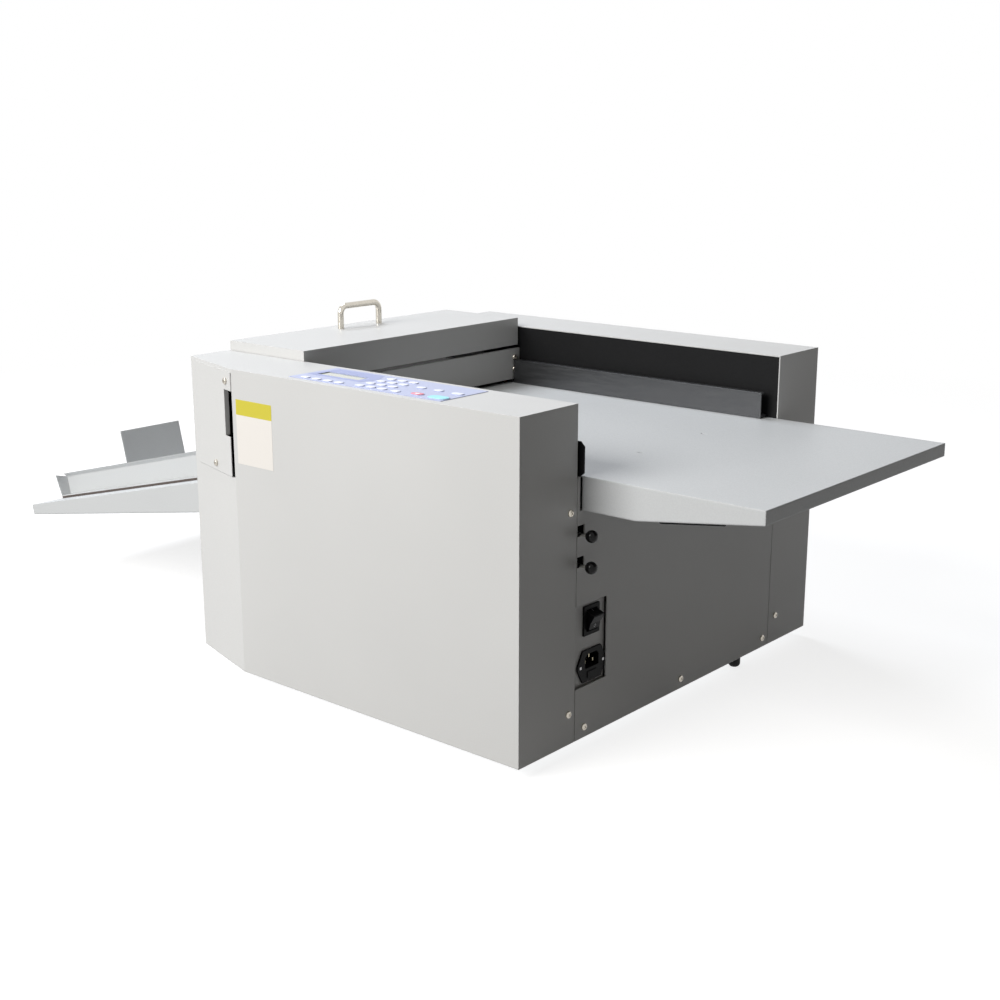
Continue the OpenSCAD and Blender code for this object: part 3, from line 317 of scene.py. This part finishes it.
# Brushed steel strip: streaks along the table. They are drawn coarser than real.
fence_steel = metal("brushed_fence_steel", "#5E5F61", 0.38, (0.04, 1, 1), 0.9, 0.08)
finish_nodes(fence_steel, "rear_side_guide")

# ---- Plastics and rubber -----------------------------------------------------
# Moulded black switch and inlet, phenolic knobs, nylon gears, ground rubber
# sleeves, the moulded belt and the feet, and the lacquered motors and board.


def moulded(
    name, tone, rough, grain_mm, bump_mm, spread=0.05, edge_mm=0.4, sheen="#808080", glare=0.5
):
    """Moulded plastic or rubber: an even colour with a faint eroded grain."""
    m, t = start(name)
    place = add(t, "ShaderNodeTexCoord")
    grain = add(t, "ShaderNodeTexNoise", {
        "Vector": (place, "Object"), "Scale": 1000 / grain_mm, "Detail": 2.0,
    })
    gloss = add(t, "ShaderNodeMapRange", {
        "Value": (grain, 0), 1: 0.3, 2: 0.7, 3: rough - spread, 4: rough + spread,
    })
    tint = add(t, "ShaderNodeMapRange", {"Value": (grain, 0), 1: 0.3, 2: 0.7, 3: 0.0, 4: 0.05})
    shade = add(t, "ShaderNodeMix", {
        0: (tint, 0), 6: colour(tone), 7: colour(sheen),
    }, data_type="RGBA")
    fold = add(t, "ShaderNodeBevel", {"Radius": edge_mm / 1000}, samples=4)
    skin = add(t, "ShaderNodeBump", {
        "Height": (grain, 0), "Distance": bump_mm / 1000, "Strength": 0.5, "Normal": (fold, 0),
    })
    body = add(t, "ShaderNodeBsdfPrincipled", {
        "Base Color": (shade, 2), "Roughness": (gloss, 0), "Normal": (skin, 0),
        "IOR": 1.5, "Specular IOR Level": glare,
    })
    add(t, "ShaderNodeOutputMaterial", {"Surface": (body, 0)})
    return m


# Black nylon with an eroded mould face: matt, without highlights.
black_plastic = moulded(
    "moulded_black_nylon", "#0A0A0B", 0.44, 0.8, 0.03, glare=0.07, sheen="#202020"
)
finish_nodes(black_plastic, "inlet_socket", "switch_body")
# Polished phenolic: black with one small clear highlight.
phenolic = moulded(
    "glossy_phenolic", "#0A0A0B", 0.20, 3.0, 0.01, 0.02, glare=0.16, sheen="#303030"
)
finish_nodes(phenolic, "upper_knob", "lower_knob")
# The rocker comes from a smoother mould than the switch's body: satin black.
rocker_plastic = moulded(
    "satin_rocker_plastic", "#08080A", 0.36, 1.5, 0.01, 0.03, glare=0.08, sheen="#202020"
)
finish_nodes(rocker_plastic, "switch_rocker")
# Undyed nylon: milky white, a little greasy.
nylon = moulded("white_gear_nylon", "#E6E2D6", 0.42, 0.8, 0.02)
finish_nodes(nylon, "feed_drive_gear", "feed_pressure_gear")
# Ground rubber: charcoal, quite dull.
sleeve_rubber = moulded("ground_roller_rubber", "#2A2A2B", 0.72, 0.7, 0.06)
finish_nodes(sleeve_rubber, "feed_drive_sleeves", "exit_drive_sleeves")
# Moulded belt: black and dull.
belt_rubber = moulded("belt_rubber", "#19191A", 0.66, 0.6, 0.04)
finish_nodes(belt_rubber, "drive_belt")
# Moulded feet: black, a little smoother than the belt.
foot_rubber = moulded(
    "foot_rubber", "#0D0D0E", 0.55, 0.9, 0.04, glare=0.2, sheen="#303030"
)
finish_nodes(foot_rubber, "rubber_feet")
# Lacquered motor cans: black with a soft gloss.
motor_lacquer = moulded("motor_lacquer", "#1B1B1D", 0.38, 0.7, 0.05)
finish_nodes(motor_lacquer, "feed_motor", "crease_motor")
# Solder mask over copper: deep green and glossy.
solder_mask = moulded("green_solder_mask", "#1E5A34", 0.32, 2.0, 0.03)
finish_nodes(solder_mask, "control_board")

# ---- Rating label and feed-end tab -------------------------------------------
# A paper sticker on the front face, left blank: a yellow band over an off-white
# field, its edges rounded. Beside the table, the feed-end panel's narrow tab.

label_x0, label_x1 = -426, -364.5
label_z0, label_z1 = 260, 336
band_z = 318
fibres_per_metre = 900.0
tab_y0, tab_y1 = 94, 98.5
tab_z0, tab_z1 = 255.4, 292.5


def make_piece(name, bm, material, body):
    """A finished piece from a bmesh, riding on a body of the machine."""
    mesh = bpy.data.meshes.new(name)
    bm.to_mesh(mesh)
    bm.free()
    mesh.materials.append(material)
    piece = bpy.data.objects.new(name, mesh)
    scene.collection.objects.link(piece)
    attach(piece, body)


def round_edges(bm, edges, radius):
    """Rounds edges by a radius in mm."""
    bmesh.ops.bevel(
        bm, geom=edges, offset=radius / 1000, segments=2, profile=0.5, affect="EDGES", material=-1
    )


def rounded_block(low, high, radius, into=None):
    """A block between two corners, in mm from the casing's corner, with rounded edges."""
    bm = into or bmesh.new()
    lo, hi = at(*low), at(*high)
    middle, size = (lo + hi) / 2, hi - lo
    lie = Matrix.Translation(middle) @ Matrix.Diagonal((*size, 1))
    made = bmesh.ops.create_cube(bm, size=1, matrix=lie)
    round_edges(bm, list({e for v in made["verts"] for e in v.link_edges}), radius)
    return bm


# Coated paper: brighter than the powder coat round it. Its real fibre is far
# finer than a millimetre; it is drawn about as coarse as that, so that it shows.
label_paper, t = start("coated_label_paper")
place = add(t, "ShaderNodeTexCoord")
height = add(t, "ShaderNodeSeparateXYZ", {0: (place, "Object")})
band = add(t, "ShaderNodeMath", {
    0: (height, 2), 1: at(0, 0, band_z).z,
}, operation="GREATER_THAN")
fibre = add(t, "ShaderNodeTexNoise", {
    "Vector": (place, "Object"), "Scale": fibres_per_metre, "Detail": 3.0,
})
tone = add(t, "ShaderNodeMix", {
    0: (band, 0), 6: colour("#D8D4CF"), 7: colour("#BFB433"),
}, data_type="RGBA")
skin = add(t, "ShaderNodeBump", {"Height": (fibre, 0), "Distance": 0.00002, "Strength": 0.4})
body = add(t, "ShaderNodeBsdfPrincipled", {
    "Base Color": (tone, 2), "Roughness": 0.5, "Normal": (skin, 0),
})
add(t, "ShaderNodeOutputMaterial", {"Surface": (body, 0)})

bm = rounded_block((label_x0, -0.25, label_z0), (label_x1, 0.1, label_z1), 0.1)
make_piece("rating_label", bm, label_paper, "machine")
bm = rounded_block((-1.5, tab_y0, tab_z0), (0, tab_y1, tab_z1), 0.25)
make_piece("feed_end_tab", bm, casing_coat, "machine")

# ---- Keypad ------------------------------------------------------------------
# A printed polyester film over dome switches: periwinkle ground, a darker field
# round the display window, pale keys, one red key and one large cyan key.

film_top = 370.62
key_top = 371.1
cap_thick = 0.35
cap_sides = 28
print_thick = 0.08


def film_ink(name, tone):
    """Ink under a clear film: an even pale colour with a satin face."""
    return moulded(name, tone, 0.34, 1.2, 0.02, sheen="#FFFFFF")


def key_cap(bm, x, y, length, width, top=key_top, thick=cap_thick):
    """A raised key: a flat oval cap that narrows a little towards its face."""
    centre = at(x, y, top)
    made = bmesh.ops.create_circle(bm, cap_ends=True, segments=cap_sides, radius=width / 2000)
    ring = made["verts"]
    stretch = (length - width) / 2000
    for v in ring:
        v.co.x += stretch if v.co.x > 0 else -stretch
        v.co += centre
    face = ring[0].link_faces[0]
    up = bmesh.ops.extrude_face_region(bm, geom=[face])["geom"]
    top_verts = [g for g in up if isinstance(g, bmesh.types.BMVert)]
    bmesh.ops.translate(bm, verts=top_verts, vec=(0, 0, thick / 1000))
    bmesh.ops.scale(
        bm, verts=top_verts, vec=(0.94, 0.9, 1), space=Matrix.Translation(-centre)
    )
    bmesh.ops.recalc_face_normals(bm, faces=bm.faces)


finish_nodes(film_ink("keypad_film", "#A9B1D2"), "keypad_membrane")
number_places = [
    *[(-324 + 18 * i, 16.8) for i in range(4)],
    *[(-240.7 + 17 * i, 19.5 + 16.3 * j) for i in range(3) for j in range(4)],
    (-186.3, 19),
]
function_places = [(-179.5, 52, 12.2), (-154, 51.5, 12.2), (-126, 50.5, 15.5)]
for name, ink, tone, caps in (
    ("number_keys", "keypad_key_print", "#E4E7F5", [(x, y, 12.1, 8.1) for x, y in number_places]),
    ("function_keys", "keypad_function_print", "#DEE2F4", [(*p, 8.3) for p in function_places]),
    ("stop_key", "keypad_stop_print", "#E06F84", [(-158, 22.8, 16, 10)]),
    ("stop_key_mark", "keypad_white_print", "#F4F4F2",
     [(-158, 22.8, 6.5, 4, key_top + cap_thick, 0.1)]),
    ("start_key", "keypad_start_print", "#8FDDE8", [(-127.5, 22.2, 26, 15.8)]),
):
    bm = bmesh.new()
    for cap in caps:
        key_cap(bm, *cap)
    make_piece(name, bm, film_ink(ink, tone), "machine")

# The printed field is a thin ring round the window, open over the display.
field_outline = ((-340, 35), (-334, 79), (-262, 79), (-250, 58), (-256, 35))
window_outline = (
    (-330.8, 41.8), (-330.8, 59.8), (-266.2, 59.8), (-266.2, 50), (-266.2, 41.8)
)
bm = bmesh.new()
field = [bm.verts.new(at(x, y, film_top)) for x, y in field_outline]
window = [bm.verts.new(at(x, y, film_top)) for x, y in window_outline]
for i in range(5):
    bm.faces.new([field[i], field[(i + 1) % 5], window[(i + 1) % 5], window[i]])
grown = bmesh.ops.extrude_face_region(bm, geom=list(bm.faces))["geom"]
grown_verts = [g for g in grown if isinstance(g, bmesh.types.BMVert)]
bmesh.ops.translate(bm, verts=grown_verts, vec=(0, 0, print_thick / 1000))
bmesh.ops.recalc_face_normals(bm, faces=bm.faces)
field_ink = film_ink("keypad_field_print", "#8B96C6")
make_piece("display_field", bm, field_ink, "machine")

# ---- Display -----------------------------------------------------------------
# Two lines of sixteen characters behind a clear window, switched off: a green
# grey cell with the faint grid of its character blocks.

cells_corner = at(-328, 44, 0)
character_w, character_h, character_gap = 0.0035, 0.0065, 0.0003

lcd, t = start("liquid_crystal_cell")
place = add(t, "ShaderNodeTexCoord")
shift = add(t, "ShaderNodeMapping", {
    "Vector": (place, "Object"), "Location": tuple(-c for c in cells_corner),
})
cells = add(t, "ShaderNodeTexBrick", {
    "Vector": (shift, 0), "Color1": colour("#ABB09A"), "Color2": colour("#A7AC96"),
    "Mortar": colour("#B6BAA6"), "Scale": 1.0, "Mortar Size": character_gap,
    "Brick Width": character_w, "Row Height": character_h,
}, offset=0.0)
body = add(t, "ShaderNodeBsdfPrincipled", {
    "Base Color": (cells, 0), "Roughness": 0.12, "Coat Weight": 1.0, "Coat Roughness": 0.04,
})
add(t, "ShaderNodeOutputMaterial", {"Surface": (body, 0)})
finish_nodes(lcd, "display_module")

# ---- Mains inlet and switch --------------------------------------------------
# A three-pin appliance inlet held by two countersunk screws, with blades of
# tinned brass, and over it a rocker switch with its grey on and off marks.

inlet_y, inlet_z = 125.3, 85
screw_pitch, screw_z, head_r = 40, 80, 1.6
rocker_pin = at(-6, 124, 131)
rocker_lean = math.radians(-12)
ring_sides = 28
ring_outer, ring_inner = 0.0019, 0.0013

tinned_brass = metal("tinned_brass_blade", "#A49C84", 0.26, (1, 1, 1), 1.2, 0.06)
bm = bmesh.new()
for y, z in ((0, 3.5), (-7, -2.5), (7, -2.5)):
    rounded_block(
        (-20, inlet_y + y - 1, inlet_z + z - 2), (-5.6, inlet_y + y + 1, inlet_z + z + 2),
        0.45, into=bm,
    )
make_piece("inlet_blades", bm, tinned_brass, "machine")

# The heads take the darker ground steel rather than the bright plated screws' finish: painted
# shade for the head that sits in the shade of the panel's edge.
bm = bmesh.new()
for y in (inlet_y - screw_pitch / 2, inlet_y + screw_pitch / 2):
    rounded_block(
        (-1.8, y - head_r, screw_z - head_r), (-1.3, y + head_r, screw_z + head_r),
        0.24, into=bm,
    )
make_piece("inlet_screw_heads", bm, tool_steel, "machine")


def rocker_face(out, up, lean):
    """The middle of one of the rocker's flats, in mm from its pin, its normal along local X."""
    lie = Matrix.Translation(rocker_pin) @ Matrix.Rotation(rocker_lean, 4, "Y")
    turned = Matrix.Rotation(math.radians(lean), 4, "Y")
    return lie @ Matrix.Translation((out / 1000, 0, up / 1000)) @ turned


# Printed marks: a ring on the lower flat and a bar on the upper one.
switch_print = moulded("grey_switch_print", "#8D8F94", 0.40, 1.2, 0.01, sheen="#FFFFFF")
bm = bmesh.new()
lower_flat = rocker_face(7.08, -7.78, 25.5) @ Matrix.Rotation(math.pi / 2, 4, "Y")
for radius in (ring_outer, ring_inner):
    bmesh.ops.create_circle(
        bm, cap_ends=False, segments=ring_sides, radius=radius, matrix=lower_flat
    )
bmesh.ops.bridge_loops(bm, edges=list(bm.edges))
upper_flat = rocker_face(7.17, 9.52, -47.7)
bmesh.ops.create_cube(bm, size=0.001, matrix=upper_flat @ Matrix.Diagonal((0.08, 0.55, 3.4, 1)))
make_piece("switch_marks", bm, switch_print, "power_rocker")

# ---- Guide and stop on the tray ----------------------------------------------
# Both stand on strips of brown-black magnetic rubber, so that they can be set
# anywhere on the tray.

casing_l = 547
tray_l = 480
tray_z = 206.5
tray_slope = math.radians(13.8)
tray_tip = at(-casing_l - tray_l, 0, tray_z - tray_l * math.tan(tray_slope))
strip_low, strip_high, strip_edge = 0.05, 3.5, 0.4
stop_face = 52

# Rubber filled with ferrite: brown black and dull.
magnet = moulded("magnetic_rubber", "#463B36", 0.62, 0.8, 0.05)


def on_tray(s, y, n):
    """A place up the tray's slope from its tip, across it, and off its surface, in mm."""
    along = s * math.cos(tray_slope) - n * math.sin(tray_slope)
    up = s * math.sin(tray_slope) + n * math.cos(tray_slope)
    return tray_tip + Vector((along, y, up)) / 1000


def magnetic_strip(name, s0, s1, y0, y1, body):
    """A rounded strip of magnetic rubber lying on the tray."""
    bm = bmesh.new()
    lo, hi = Vector((s0, y0, strip_low)), Vector((s1, y1, strip_high))
    middle, size = (lo + hi) / 2, (hi - lo) / 1000
    lie = Matrix.Translation(on_tray(*middle)) @ Matrix.Rotation(-tray_slope, 4, "Y")
    bmesh.ops.create_cube(bm, size=1, matrix=lie @ Matrix.Diagonal((*size, 1)))
    round_edges(bm, list(bm.edges), strip_edge)
    make_piece(name, bm, magnet, body)


magnetic_strip("guide_magnet", 10.9, 411.1, 141.6, 153.6, "tray_side_guide")
magnetic_strip(
    "stop_magnet", stop_face - 32.4, stop_face - 1.4, 241.6, 346.4, "tray_paper_stop"
)
